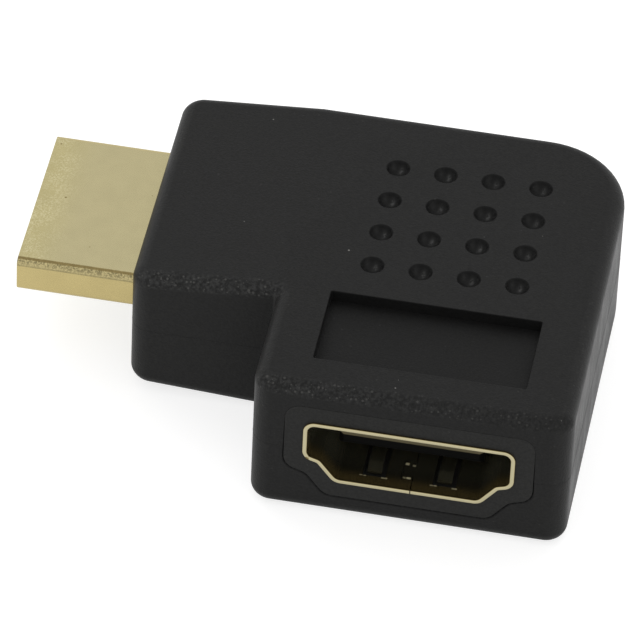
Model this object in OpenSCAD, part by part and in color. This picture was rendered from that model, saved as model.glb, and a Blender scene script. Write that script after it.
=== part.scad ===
// Right-angle adapter for a 19-way digital video connector, in millimetres
// The plug points along -X, the socket opens along -Y, and the broad faces lie level
// Origin: the middle of the whole footprint, plug included, on the underside

/* [Body] */
// Length from the plug's end face to the right side
body_w = 32.3; // [30:0.1:38]
// Depth from the socket's face to the back
body_d = 29.6; // [28.6:0.1:36]
// Thickness of the main block
body_t = 11.3; // [10.8:0.1:14]
// Width of the leg that holds the socket
socket_leg_w = 22; // [20.6:0.1:24]
// Width of the leg that holds the plug
plug_leg_w = 20.2; // [19.2:0.1:22]
// Fall of the upper face along the plug leg, which tapers towards its end
taper_top = 0.85; // [0.3:0.05:1.1]
// Rise of the lower face along the plug leg
taper_low = 0.55; // [0.2:0.05:1]
// Radius of the edges round the broad faces
edge_r = 1; // [0.3:0.05:1.1]
// Radius of the upright corners
upright_r = 1.5; // [1.2:0.05:2]
// Radius in the inner corner of the notch
notch_r = 0.3; // [0.1:0.05:1]
// Radius of the big outer corner, seen from above
corner_r = 6.1; // [3:0.1:8.5]

/* [Grip dimples] */
// Dimples along each side of the square pattern
dimple_count = 4; // [2:1:4]
// Radius of a dimple at the surface
dimple_r = 0.85; // [0.5:0.05:1.2]
// Depth of a dimple
dimple_depth = 0.55; // [0.2:0.05:0.7]
// Spacing across the socket leg
dimple_pitch_x = 3.37; // [2.6:0.01:3.8]
// Spacing along the socket leg
dimple_pitch_y = 3.49; // [2.6:0.01:3.6]
// From the back face to the first row
dimple_inset = 5.8; // [4:0.1:6.2]

/* [Blank recess] */
// Width of the recess
recess_w = 14.7; // [8:0.1:16]
// Length of the recess
recess_l = 7; // [3:0.1:7.5]
// Depth of the recess
recess_depth = 0.9; // [0.2:0.05:1.1]
// From the socket's face to the recess
recess_inset = 3.1; // [2:0.1:3.4]

/* [Mating outline] */
// Outer width of the plug
plug_w = 13.9; // [13.4:0.05:14.6]
// Outer height of the plug
plug_h = 4.45; // [4.3:0.05:4.9]
// Height of the straight sides, from the wide face
side_h = 2.65; // [2.5:0.05:3]
// Run of the ledge below each side
ledge_run = 0.9; // [0.7:0.05:1.1]
// Fall of the ledge along that run
ledge_fall = 0.28; // [0.1:0.02:0.4]
// Width of the narrow face
foot_w = 9.75; // [9.2:0.05:10.2]
// Outer radius of the plug's tight bends
tight_r = 0.48; // [0.4:0.01:0.6]
// Outer radius of the plug's soft bends
soft_r = 0.6; // [0.5:0.05:0.9]
// Thickness of the shells' sheet
sheet_t = 0.3; // [0.2:0.01:0.36]
// Clearance round the plug in a socket
mating_gap = 0.05; // [0.03:0.01:0.12]

/* [Plug] */
// Length of the plug outside the body
plug_out = 8.5; // [8:0.1:9]
// How far the plug lies off the middle of its leg, towards the socket's side
plug_shift = 0.3; // [0:0.05:0.4]
// Length of the plug's shell inside the body
plug_in = 5.5; // [4.5:0.1:6.5]
// How far the plug's insulator lies behind the shell's tip
insulator_setback = 0.5; // [0.2:0.05:1]
// Clearance above and below the tongue in its slot
slot_gap = 0.15; // [0.08:0.01:0.2]
// Clearance at each side and at the end of the tongue
slot_side_gap = 0.2; // [0.1:0.05:0.4]
// Depth of the grooves behind the contacts
groove_depth = 0.55; // [0.5:0.01:0.6]
// Thickness of the web that shields the contacts' tips
tip_web = 0.4; // [0.2:0.05:0.6]
// How far the contacts press into the space of the tongue
contact_press = 0.1; // [0.05:0.01:0.15]
// From a contact's tip to its crest
tip_to_crest = 1; // [0.7:0.05:1.4]
// Clearance at each side of a contact in its groove
groove_gap = 0.07; // [0.04:0.01:0.12]
// Length of a latch window
latch_l = 2; // [1.6:0.1:2.4]

/* [Socket] */
// Length of the socket's shell
socket_shell_l = 12; // [11.4:0.1:12.6]
// How far the rim stands out of the face
rim_proud = 0.1; // [0:0.05:0.3]
// Depth of the cavity from the face
cavity_depth = 9.2; // [9.05:0.05:9.6]
// From the top of the cavity to the tongue
tongue_drop = 1.2; // [1.15:0.05:1.35]
// Thickness of the tongue
tongue_t = 1.05; // [1:0.05:1.2]
// How far the tongue's edge lies behind the face
tongue_setback = 1.15; // [0.6:0.05:1.6]
// Margin from the last contact to the tongue's side
tongue_margin = 0.3; // [0.2:0.05:0.4]
// Bevel above and below the tongue's front edge
tongue_bevel = 0.2; // [0.1:0.05:0.3]
// Bevel across each front corner of the tongue, seen from above
tongue_corner = 0.3; // [0.1:0.05:0.4]
// From the tongue's front edge to its contacts
blade_setback = 0.6; // [0.4:0.05:1]
// Width of a spring finger
finger_w = 1; // [0.8:0.05:1.2]
// Gap along each side of a finger
finger_gap = 0.3; // [0.2:0.02:0.4]
// From the middle of the socket to a finger's middle
finger_x = 2.43; // [2.1:0.01:2.8]
// From the face to the start of a finger's window
finger_start = 0.8; // [0.6:0.1:1.2]
// Length of a finger's window
finger_l = 5.5; // [4.5:0.1:6]
// From the face to the crest of a finger
finger_crest = 2; // [1.8:0.1:2.4]
// Height of the crest inside the shell's wall
finger_rise = 0.35; // [0.2:0.05:0.4]
// From the face to a finger's tip
finger_tip = 1.2; // [1.1:0.05:1.5]
// Height of the tip inside the shell's wall
finger_tip_rise = 0.1; // [0:0.02:0.15]

/* [Shell seams] */
// Offset of the seam from the middle of the narrow face
seam_x = 0.24; // [0:0.02:0.4]
// Width of the seam
seam_gap = 0.06; // [0.04:0.01:0.1]
// From the shell's edge to the dovetail
dovetail_start = 1.3; // [1:0.1:2]
// Length of the dovetail at its root
dovetail_l = 1.4; // [1:0.1:1.8]
// Reach of the dovetail across the seam
dovetail_reach = 0.8; // [0.5:0.05:1]
// Flare of the dovetail on each side
dovetail_flare = 0.25; // [0.1:0.05:0.3]

/* [Contacts] */
// Spacing of the contacts in one row
contact_pitch = 1; // [0.94:0.01:1.04]
// Width of a contact
contact_w = 0.4; // [0.3:0.02:0.44]
// Thickness of a contact
contact_t = 0.2; // [0.14:0.01:0.22]
// How far the socket's contacts stand out of the tongue
contact_proud = 0.03; // [0.01:0.01:0.06]
// From the insulator's rear to the circuit board
tail_reach = 1; // [0.8:0.05:1.4]
// Length of a tail on its pad
tail_l = 1.5; // [1:0.1:2]

/* [Circuit board] */
// Thickness of the board
board_t = 1; // [0.8:0.05:1.1]
// Thickness of the copper pads
pad_t = 0.05; // [0.03:0.01:0.1]
// Width of a pad
pad_w = 0.6; // [0.5:0.02:0.7]
// Margin of the board inside the inner moulding
board_margin = 0.6; // [0.4:0.05:0.9]
// Radius of the board's corners
board_corner_r = 0.3; // [0.1:0.05:0.5]
// Length of the ear that carries the plug's front tab
ear_l = 4.5; // [3.5:0.1:5]
// Height of a shell's solder tab
tab_h = 2.4; // [2:0.1:2.6]
// Clearance of a solder tab in its slot
tab_gap = 0.06; // [0.04:0.01:0.12]

/* [Mouldings] */
// Wall of the outer moulding round the board
outer_wall = 1.5; // [1.3:0.05:1.8]
// Wall of the outer moulding at the plug's end face
end_wall = 0.9; // [0.6:0.05:1.5]
// Wall of the inner moulding round each shell
collar_wall = 1.3; // [1:0.05:1.35]
// Radius of the collar's corners
collar_r = 1.1; // [0.8:0.05:1.4]
// Thickness of the inner moulding round the board
inner_t = 7.4; // [6.4:0.1:7.6]
// Clearance of the inner moulding round tails and fingers
relief = 0.3; // [0.2:0.02:0.4]
// How far each insulator shows behind its shell
insulator_rear = 0.4; // [0.2:0.05:0.8]

/* [Hidden] */
// Coarsest turn, in degrees, of one step round a bend, and round the body; neither divides 90
arc_step = 12;
body_step = 8;
// Far enough to cut right through a wall
past = 1;
// Contacts in each connector, the odd ones in the upper row
pins = 19;

// The body's faces, from the middle of the footprint
x_right = (body_w + plug_out) / 2;
x_left = x_right - body_w;
y_front = (rim_proud - body_d) / 2;
y_back = y_front + body_d;
z_mid = body_t / 2;
x_notch = x_right - socket_leg_w;
y_notch = y_back - plug_leg_w;
socket_x = x_right - socket_leg_w / 2;
plug_y = y_back - plug_leg_w / 2 - plug_shift;

// Heights over the middle plane of the board and both connectors
cavity_top = plug_h / 2 + mating_gap;
tongue_top = cavity_top - tongue_drop;
tongue_mid = tongue_top - tongue_t / 2;
tail_z = board_t / 2 + pad_t + contact_t / 2;
// From the middle of the tongue to the wall of its slot, and to a plug contact's sprung beam
slot_half_z = tongue_t / 2 + slot_gap;
beam_z = slot_half_z + slot_gap;

// Places behind the face of each connector
plug_insulator_end = plug_in + insulator_rear;
socket_shell_end = socket_shell_l - rim_proud;
socket_insulator_end = socket_shell_end + insulator_rear;
plug_board_y = plug_insulator_end + tail_reach;
socket_board_y = socket_insulator_end + tail_reach;
slot_end = slot_side_gap - tongue_setback;

// Widths across a row of contacts
row_w = (pins - 1) / 2 * contact_pitch + contact_w;
tongue_w = row_w + 2 * tongue_margin;
slot_w = tongue_w + 2 * slot_side_gap;
groove_w = contact_w + 2 * groove_gap;

function pin_name(kind, n) = str(kind, n < 10 ? "_0" : "_", n);

// Outlines: the same corner rule serves bent sheet, mouldings and contacts

function unit(v) = v / norm(v);

function outward(a, b) = let (d = unit(b - a)) [d.y, -d.x];

// Point at the i-th place of a closed outline
function around(pts, i) = pts[(i + len(pts)) % len(pts)];

// Mitre at p between the lines a-p and p-b, for an offset of 1
function mitre(a, p, b) =
    let (n1 = outward(a, p), n2 = outward(p, b)) (n1 + n2) / (1 + n1 * n2);

// Outline moved outwards by a distance
function grown(pts, by) = [
    for (i = [0:len(pts) - 1])
        pts[i] + by * mitre(around(pts, i - 1), pts[i], around(pts, i + 1))
];

// Arc that rounds the corner p between a and b
function bend(a, p, b, r, step = arc_step) =
    r == 0 ? [p] : let (
        u = unit(a - p),
        v = unit(b - p),
        half = acos(u * v) / 2,
        centre = p + unit(u + v) * r / sin(half),
        from = p + u * r / tan(half) - centre,
        to = p + v * r / tan(half) - centre,
        start = atan2(from.y, from.x),
        turn = (atan2(to.y, to.x) - start + 540) % 360 - 180,
        steps = ceil(abs(turn) / step)
    )
    [for (k = [0:steps]) centre + r * [cos(start + turn * k / steps), sin(start + turn * k / steps)]];

// Closed outline with one radius for each corner
function rounded(pts, radii, step = arc_step) = [
    for (i = [0:len(pts) - 1])
        each bend(around(pts, i - 1), pts[i], around(pts, i + 1), radii[i], step)
];

// Open line with its inner corners rounded
function softened(path, r) = [
    path[0],
    for (i = [1:len(path) - 2]) each bend(path[i - 1], path[i], path[i + 1], r),
    path[len(path) - 1]
];

// Strip of even thickness along an open line
function strip(path, thickness) =
    let (
        last = len(path) - 1,
        ahead = path[last] + unit(path[last] - path[last - 1]),
        behind = path[0] - unit(path[1] - path[0]),
        line = concat([behind], path, [ahead]),
        side = [for (i = [1:last + 1]) mitre(line[i - 1], line[i], line[i + 1]) * thickness / 2]
    )
    concat(
        [for (i = [0:last]) path[i] + side[i]],
        [for (i = [last:-1:0]) path[i] - side[i]]
    );

// Corners of the mating outline, wide face up, from the narrow face round to it
half_outline = [
    [foot_w / 2, -plug_h / 2],
    [plug_w / 2 - ledge_run, plug_h / 2 - side_h - ledge_fall],
    [plug_w / 2, plug_h / 2 - side_h],
    [plug_w / 2, plug_h / 2]
];
outline = concat(half_outline, [for (i = [3:-1:0]) [-half_outline[i].x, half_outline[i].y]]);

// Bent sheet surface that lies outside the plug by a distance
function sheet_surface(by) =
    let (half = [soft_r + by, soft_r - by, tight_r + by, tight_r + by])
    rounded(grown(outline, by), concat(half, [for (i = [3:-1:0]) half[i]]));

// Moulded outline with softer corners that follows the same form
function collar_outline(by) = rounded(grown(outline, by), [for (p = outline) collar_r]);

// Frames and extrusions: y runs into the body from a connector's face, z is up

module at_plug() {
    translate([x_left, plug_y, z_mid]) rotate([0, 0, -90]) children();
}

module at_socket() {
    translate([socket_x, y_front, z_mid]) children();
}

// Extrudes an outline of x and z from one place along y to another
module along(from, to) {
    translate([0, to, 0]) rotate([90, 0, 0]) linear_extrude(to - from) children();
}

// Extrudes an outline of y and z across x, centred
module across(width) {
    rotate([90, 0, 90]) linear_extrude(width, center = true) children();
}

// Box between two corners
module block(low, high) {
    translate(low) cube(high - low);
}

module mirrored_x() {
    children();
    mirror([1, 0, 0]) children();
}

// Place of a contact across its connector, and its row: 1 above, -1 below
function pin_x(n) = (n - (pins + 1) / 2) * contact_pitch / 2;
function row_of(n) = n % 2 == 1 ? 1 : -1;

// Outer moulding

// Plan of the body, where the plug leg starts to taper at the line x_taper
x_taper = x_notch - notch_r;
body_plan = [
    [x_left, y_notch],
    [x_notch, y_notch],
    [x_notch, y_front],
    [x_right, y_front],
    [x_right, y_back],
    [x_taper, y_back],
    [x_left, y_back]
];

// How far the plug leg's upper face, side 1, or its lower face, side -1, has closed in at a place
function taper(x, side) = max(0, x_taper - x) / (x_taper - x_left) * (side > 0 ? taper_top : taper_low);

// One level of the body: the angle goes from 0 on the side walls to 90 on a broad face
function body_ring(angle, side) =
    let (
        inset = edge_r * (1 - cos(angle)),
        half_t = body_t / 2 - edge_r * (1 - sin(angle)),
        convex = upright_r - inset,
        radii = [convex, notch_r + inset, convex, convex, corner_r - inset, 0, convex]
    )
    [
        for (p = rounded(grown(body_plan, -inset), radii, body_step))
            [p.x, p.y, z_mid + side * (half_t - taper(p.x, side))]
    ];

// The body as one loft through its levels, with each broad face creased at the taper
module body_form() {
    angles = [for (k = [0:ceil(90 / arc_step)]) k * 90 / ceil(90 / arc_step)];
    last = len(angles) - 1;
    rings = concat(
        [for (k = [last:-1:0]) body_ring(angles[k], -1)],
        [for (k = [0:last]) body_ring(angles[k], 1)]
    );
    n = len(rings[0]);
    arc = ceil(90 / body_step) + 1;
    top = (len(rings) - 1) * n;
    // Both start at a point that sees the whole face, the first one on the big corner
    main_face = concat([for (j = [4 * arc:5 * arc]) j], [for (j = [arc:4 * arc - 1]) j]);
    tapered_face = concat([for (j = [5 * arc:n - 1]) j], [for (j = [0:arc]) j]);
    walls = [
        for (i = [0:len(rings) - 2], j = [0:n - 1])
            let (low = i * n, high = low + n, next = (j + 1) % n)
            each [[low + j, high + j, high + next], [low + j, high + next, low + next]]
    ];
    upper = [
        for (face = [main_face, tapered_face])
            [for (k = [len(face):-1:1]) top + face[k % len(face)]]
    ];
    polyhedron([for (ring = rings) each ring], concat([main_face, tapered_face], upper, walls));
}

// Ball that cuts one dimple into the face above it
module dimple_ball() {
    ball_r = (dimple_r * dimple_r + dimple_depth * dimple_depth) / (2 * dimple_depth);
    translate([0, 0, body_t / 2 + ball_r - dimple_depth]) sphere(ball_r);
}

// The same square of dimples serves the thumb above and the finger below
module grip_dimples() {
    first_x = socket_x - (dimple_count - 1) / 2 * dimple_pitch_x;
    for (i = [0:dimple_count - 1], j = [0:dimple_count - 1])
        translate([first_x + i * dimple_pitch_x, y_back - dimple_inset - j * dimple_pitch_y, z_mid]) {
            dimple_ball();
            mirror([0, 0, 1]) dimple_ball();
        }
}

module blank_recess() {
    block(
        [socket_x - recess_w / 2, y_front + recess_inset, body_t - recess_depth],
        [socket_x + recess_w / 2, y_front + recess_inset + recess_l, body_t + past]
    );
}

module overmould() {
    color("#2b2c2e")
        difference() {
            body_form();
            inner_form(past);
            at_plug() along(-past, end_wall + past) polygon(sheet_surface(0));
            grip_dimples();
            blank_recess();
        }
}

// Inner moulding

// Its plan round the board, with the outer moulding's wall left outside it
inner_plan = [
    [x_left + plug_in, y_notch + outer_wall],
    [x_right - outer_wall, y_notch + outer_wall],
    [x_right - outer_wall, y_back - outer_wall],
    [x_left + plug_in, y_back - outer_wall]
];
inner_radii = [edge_r, edge_r, corner_r - outer_wall, edge_r];

module inner_form(before) {
    block_y = y_notch + outer_wall - y_front;
    translate([0, 0, z_mid - inner_t / 2])
        linear_extrude(inner_t) polygon(rounded(inner_plan, inner_radii));
    at_socket()
        along(-before, block_y + past) polygon(collar_outline(mating_gap + sheet_t + collar_wall));
    at_plug()
        along(end_wall, plug_in + past) polygon(collar_outline(collar_wall));
}

// Room for the tails of one connector, from its insulator to past their ends
module tail_pocket(from, board_y) {
    half_x = row_w / 2 + relief;
    half_z = max(tongue_mid + beam_z, tail_z) + contact_t + relief;
    block([-half_x, from, -half_z], [half_x, board_y + tail_l + relief, half_z]);
}

module inner_mould() {
    color("#303134")
        difference() {
            inner_form(0);
            circuit_board_slab();
            at_socket() {
                along(-past, socket_shell_end) polygon(sheet_surface(mating_gap + sheet_t));
                along(past, socket_insulator_end) polygon(sheet_surface(mating_gap));
                socket_tabs();
                tail_pocket(socket_insulator_end - relief, socket_board_y);
                mirrored_x() finger_reliefs();
            }
            at_plug() {
                along(0, plug_in) polygon(sheet_surface(0));
                along(0, plug_insulator_end) polygon(sheet_surface(-sheet_t));
                plug_tabs();
                tail_pocket(plug_insulator_end - relief, plug_board_y);
            }
        }
}

// Room for a finger to spring outwards, above and below the shell
module finger_reliefs() {
    half_x = finger_w / 2 + finger_gap;
    depth = cavity_top + sheet_t + relief;
    block([finger_x - half_x, finger_start, -depth], [finger_x + half_x, finger_start + finger_l, depth]);
}

// Folded shells

// Slit where the sheet's two edges meet, hooked together by a dovetail
module seam(edge, end, depth) {
    root = edge + dovetail_start;
    hook = seam_x - dovetail_reach;
    line = [
        [seam_x, edge - past],
        [seam_x, root],
        [hook, root - dovetail_flare],
        [hook, root + dovetail_l + dovetail_flare],
        [seam_x, root + dovetail_l],
        [seam_x, end + past]
    ];
    translate([0, 0, depth - sheet_t / 2])
        linear_extrude(2 * sheet_t) polygon(strip(line, seam_gap));
}

// Solder tabs that carry on from a shell's straight sides into slots in the board
module solder_tabs(inner_x, from, to) {
    mirrored_x() block([inner_x, from, -tab_h / 2], [inner_x + sheet_t, to, tab_h / 2]);
}

module plug_tabs() {
    solder_tabs(plug_w / 2 - sheet_t, plug_in, plug_board_y + tail_l);
}

module socket_tabs() {
    solder_tabs(plug_w / 2 + mating_gap, socket_shell_end, socket_board_y + tail_l);
}

// Windows in the narrow face, where the crests of a socket's fingers drop in
module latch_windows() {
    half_x = finger_w / 2 + finger_gap;
    mirrored_x()
        block(
            [finger_x - half_x, -finger_crest - latch_l / 2, -plug_h / 2 - past],
            [finger_x + half_x, -finger_crest + latch_l / 2, -plug_h / 2 + past]
        );
}

module plug_shell() {
    color("#c9bd8e")
        at_plug() {
            difference() {
                along(-plug_out, plug_in) polygon(sheet_surface(0));
                along(-plug_out - past, plug_in + past) polygon(sheet_surface(-sheet_t));
                seam(-plug_out, plug_in, -plug_h / 2);
                latch_windows();
            }
            plug_tabs();
        }
}

// Springy tongue of the shell's own sheet, bowed into the cavity
module finger() {
    wall = cavity_top + sheet_t / 2;
    root = finger_start + finger_l;
    line = [
        [root + sheet_t, wall],
        [root - sheet_t, wall],
        [finger_crest, wall - finger_rise],
        [finger_tip, wall - finger_tip_rise]
    ];
    translate([finger_x, 0, 0]) across(finger_w) polygon(strip(softened(line, sheet_t), sheet_t));
}

module finger_window() {
    half_x = finger_w / 2 + finger_gap;
    block(
        [finger_x - half_x, finger_start, cavity_top - past],
        [finger_x + half_x, finger_start + finger_l, cavity_top + past]
    );
}

module socket_shell() {
    color("#cfc296")
        at_socket() {
            difference() {
                along(-rim_proud, socket_shell_end) polygon(sheet_surface(mating_gap + sheet_t));
                along(-past, socket_shell_l + past) polygon(sheet_surface(mating_gap));
                seam(-rim_proud, socket_shell_end, -cavity_top - sheet_t);
                mirrored_x() {
                    finger_window();
                    mirror([0, 0, 1]) finger_window();
                }
            }
            mirrored_x() {
                finger();
                mirror([0, 0, 1]) finger();
            }
            socket_tabs();
        }
}

// Insulators

// Centreline of a plug contact: tail on the board, step up, sprung beam, crest and tip
function plug_contact_line(n) =
    let (
        s = row_of(n),
        beam = beam_z + contact_t / 2,
        crest = tongue_t / 2 - contact_press + contact_t / 2,
        tip = insulator_setback + tip_web + contact_t - plug_out
    )
    [
        [plug_board_y + tail_l, s * tail_z],
        [plug_board_y - contact_t, s * tail_z],
        [plug_insulator_end + contact_t, tongue_mid + s * beam],
        [slot_end - contact_t, tongue_mid + s * beam],
        [tip + tip_to_crest, tongue_mid + s * crest],
        [tip, tongue_mid + s * beam]
    ];

// Groove for one contact, open to the slot, and its fit through the rear wall
module contact_groove(n) {
    front = insulator_setback + tip_web - plug_out;
    rear = plug_insulator_end + past;
    translate([pin_x(n), 0, tongue_mid])
        mirror([0, 0, row_of(n) > 0 ? 0 : 1]) {
            block([-groove_w / 2, front, 0], [groove_w / 2, slot_end, slot_half_z + groove_depth]);
            block([-contact_w / 2, slot_end - past, beam_z], [contact_w / 2, rear, beam_z + contact_t]);
        }
}

module plug_insulator() {
    color("#1d1d1f")
        at_plug()
            difference() {
                along(insulator_setback - plug_out, plug_insulator_end) polygon(sheet_surface(-sheet_t));
                block(
                    [-slot_w / 2, -plug_out, tongue_mid - slot_half_z],
                    [slot_w / 2, slot_end, tongue_mid + slot_half_z]
                );
                for (n = [1:pins]) contact_groove(n);
            }
}

// Height of a socket contact's centreline where it lies in the tongue
function blade_z(n) = tongue_mid + row_of(n) * (tongue_t / 2 + contact_proud - contact_t / 2);

blade_start = tongue_setback + blade_setback;

// Centreline of a socket contact: flat blade, step, and tail on the board
function socket_contact_line(n) = [
    [blade_start, blade_z(n)],
    [socket_insulator_end + contact_t, blade_z(n)],
    [socket_board_y - contact_t, row_of(n) * tail_z],
    [socket_board_y + tail_l, row_of(n) * tail_z]
];

// Tongue that carries the socket's contacts, from its profile and its plan
module tongue() {
    side = [
        [cavity_depth + past, tongue_top],
        [tongue_setback + tongue_bevel, tongue_top],
        [tongue_setback, tongue_top - tongue_bevel],
        [tongue_setback, tongue_top - tongue_t + tongue_bevel],
        [tongue_setback + tongue_bevel, tongue_top - tongue_t],
        [cavity_depth + past, tongue_top - tongue_t]
    ];
    plan = [
        [-tongue_w / 2, cavity_depth + past],
        [-tongue_w / 2, tongue_setback + tongue_corner],
        [tongue_corner - tongue_w / 2, tongue_setback],
        [tongue_w / 2 - tongue_corner, tongue_setback],
        [tongue_w / 2, tongue_setback + tongue_corner],
        [tongue_w / 2, cavity_depth + past]
    ];
    intersection() {
        across(tongue_w) polygon(side);
        translate([0, 0, tongue_mid - tongue_t]) linear_extrude(2 * tongue_t) polygon(plan);
    }
}

module socket_insulator() {
    color("#1b1b1c")
        at_socket()
            difference() {
                union() {
                    along(cavity_depth, socket_insulator_end) polygon(sheet_surface(mating_gap));
                    tongue();
                }
                for (n = [1:pins])
                    translate([pin_x(n), 0, blade_z(n)])
                        block(
                            [-contact_w / 2, blade_start, -contact_t / 2],
                            [contact_w / 2, socket_insulator_end + past, contact_t / 2]
                        );
            }
}

// Contacts, one blank bent from flat strip each

module contact(x, line) {
    color("#d6ae4c")
        translate([x, 0, 0]) across(contact_w) polygon(strip(softened(line, contact_t), contact_t));
}

module plug_contact(n) {
    at_plug() contact(pin_x(n), plug_contact_line(n));
}

// A socket faces its plug, so its pins run the other way
module socket_contact(n) {
    at_socket() contact(-pin_x(n), socket_contact_line(n));
}

// Circuit board

// Its plan: a main field behind the socket, and an ear for the plug's front tab
board_plan = [
    [x_left + plug_board_y, plug_y - plug_w / 2 - board_margin],
    [x_left + plug_board_y + ear_l, plug_y - plug_w / 2 - board_margin],
    [x_left + plug_board_y + ear_l, y_front + socket_board_y],
    [x_right - outer_wall - board_margin, y_front + socket_board_y],
    [x_right - outer_wall - board_margin, y_back - outer_wall - board_margin],
    [x_left + plug_board_y, y_back - outer_wall - board_margin]
];
board_radii = [for (i = [0:5]) i == 4 ? corner_r - outer_wall - board_margin : board_corner_r];

module circuit_board_slab() {
    translate([0, 0, z_mid - board_t / 2])
        linear_extrude(board_t) polygon(rounded(board_plan, board_radii));
}

// Copper under the tails of one connector, above and below the board
module pads(board_y) {
    for (n = [1:pins])
        translate([pin_x(n), 0, 0])
            mirror([0, 0, row_of(n) > 0 ? 0 : 1])
                block([-pad_w / 2, board_y, 0], [pad_w / 2, board_y + tail_l, board_t / 2 + pad_t]);
}

// Slots that let one connector's tabs into the board's edge
module tab_slots(inner_x, board_y) {
    mirrored_x()
        block(
            [inner_x - tab_gap, board_y - past, -board_t],
            [inner_x + sheet_t + tab_gap, board_y + tail_l + tab_gap, board_t]
        );
}

module circuit_board() {
    color("#2f6b3c")
        difference() {
            union() {
                circuit_board_slab();
                at_plug() pads(plug_board_y);
                at_socket() pads(socket_board_y);
            }
            at_plug() tab_slots(plug_w / 2 - sheet_t, plug_board_y);
            at_socket() tab_slots(plug_w / 2 + mating_gap, socket_board_y);
        }
}

overmould();
inner_mould();
plug_shell();
plug_insulator();
socket_shell();
socket_insulator();
circuit_board();
for (n = [1:pins]) {
    plug_contact(n);
    socket_contact(n);
}
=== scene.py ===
"""Dresses a moulded right-angle video adapter for its studio picture

The packed CAD model is the fixed frame, and its pieces get their finishes here. The outer moulding, the
mould's parting line and the rounded edges of the two shells are made here.
"""

import math

import bmesh
import bpy
from mathutils import Euler, Matrix, Vector


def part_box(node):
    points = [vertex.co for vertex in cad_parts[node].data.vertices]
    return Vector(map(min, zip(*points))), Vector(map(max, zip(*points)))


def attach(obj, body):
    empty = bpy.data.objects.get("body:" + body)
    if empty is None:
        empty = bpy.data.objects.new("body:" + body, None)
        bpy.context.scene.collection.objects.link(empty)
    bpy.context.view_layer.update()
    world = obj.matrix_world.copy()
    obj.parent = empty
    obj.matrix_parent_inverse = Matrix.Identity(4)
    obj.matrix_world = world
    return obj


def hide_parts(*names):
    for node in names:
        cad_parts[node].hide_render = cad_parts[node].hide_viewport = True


bl_info = {
    "name": "Right-angle adapter dressing",
    "version": (1, 0, 0),
    "blender": (4, 5, 0),
    "location": "3D View > Sidebar > Adapter",
    "description": "Outer moulding, finishes and studio for a moulded right-angle video adapter",
    "category": "Object",
}

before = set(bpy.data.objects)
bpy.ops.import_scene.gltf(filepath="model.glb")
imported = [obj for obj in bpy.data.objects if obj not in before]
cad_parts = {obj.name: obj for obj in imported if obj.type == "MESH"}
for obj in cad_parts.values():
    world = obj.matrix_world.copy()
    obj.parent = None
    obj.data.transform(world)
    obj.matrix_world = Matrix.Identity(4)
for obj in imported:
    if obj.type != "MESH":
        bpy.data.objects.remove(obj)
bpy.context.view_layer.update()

BODY = "root"
MM = 0.001
UP, SIDE, BACK = Vector((0, 0, 1)), Vector((1, 0, 0)), Vector((0, 1, 0))

# Places of the real pieces, taken from the packed model
BODY_LOW, BODY_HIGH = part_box("overmould")
INNER_LOW, INNER_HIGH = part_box("inner_mould")
PLUG_LOW, PLUG_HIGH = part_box("plug_shell")
SOCKET_LOW, SOCKET_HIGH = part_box("socket_shell")
TONGUE_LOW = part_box("socket_insulator")[0]
BOARD_LOW, BOARD_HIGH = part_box("circuit_board")
Z_MID = (BODY_LOW.z + BODY_HIGH.z) / 2
PLUG_Y = (PLUG_LOW.y + PLUG_HIGH.y) / 2
SOCKET_X = (SOCKET_LOW.x + SOCKET_HIGH.x) / 2
CONTACTS = sorted(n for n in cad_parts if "_contact_" in n)

# How much paler or darker the outer moulding is painted in places, as a share of its shade: painted light on
# the plug leg's front, painted shade in the collar's joint, the plug's mouth, the recess and the dimples
FRONT_PAINTED_LIGHT, JOINT_PAINTED_SHADE, MOUTH_PAINTED_SHADE, RECESS_PAINTED_SHADE, DIMPLE_PAINTED_SHADE = 0.2, -0.95, -0.5, -0.26, -0.5
# Painted highlights in a dimple, in its radii: strength, x, y, half width and half length
DIMPLE_PAINTED_HIGHLIGHTS = ((2.5, 0.22, 0.31, 0.17, 0.3), (1.0, -0.47, 0.54, 0.2, 0.3), (0.3, 0, 0.3, 0.4, 0.5))
# Pits in the plug's plating, in millimetres: x from the tip, y from the middle, and radius
PITS = ((0.43, 5.92, 0.09), (1.93, 0.32, 0.1), (7.83, 1.82, 0.05), (4.63, -4.48, 0.06))
# Middles of the lower spring fingers, in millimetres from the socket's own middle
FINGERS = (-2.44, 2.48)
# Painted glints at the corners of the socket's lower windows and at its seam, in millimetres: x from the
# socket's middle, depth, width and length, and last the strength
PAINTED_GLINTS = (
    (-3.3, 0.87, 0.16, 0.08, 0.5),
    (-3.04, 0.89, 0.12, 0.1, 0.8),
    (-1.7, 0.86, 0.36, 0.1, 0.7),
    (1.6, 0.85, 0.2, 0.08, 0.6),
    (1.84, 0.87, 0.14, 0.1, 0.8),
    (3.16, 0.83, 0.3, 0.1, 0.7),
    (-0.36, 2.6, 0.2, 0.2, 1.0),
    (0.12, 2.52, 0.16, 0.14, 0.7),
    (-0.36, 1.21, 0.14, 0.1, 0.6),
    (-0.06, 1.21, 0.24, 0.14, 1.0),
)


def length(name, default, description):
    """A size in metres, given in millimetres"""
    return bpy.props.FloatProperty(
        name=name, description=description, default=default * MM, unit="LENGTH", min=0, precision=5
    )


def bearing(name, default, description):
    """An angle, given in degrees"""
    default = math.radians(default)
    return bpy.props.FloatProperty(name=name, description=description, default=default, subtype="ANGLE")


def tint(name, default, description):
    """A colour in linear light"""
    return bpy.props.FloatVectorProperty(
        name=name, description=description, default=default, subtype="COLOR", size=3, min=0, max=1
    )


def amount(name, default, description, low=0, high=10):
    return bpy.props.FloatProperty(name=name, description=description, default=default, min=low, max=high)


def number(name, default, description, low, high):
    return bpy.props.IntProperty(name=name, description=description, default=default, min=low, max=high)


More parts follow.
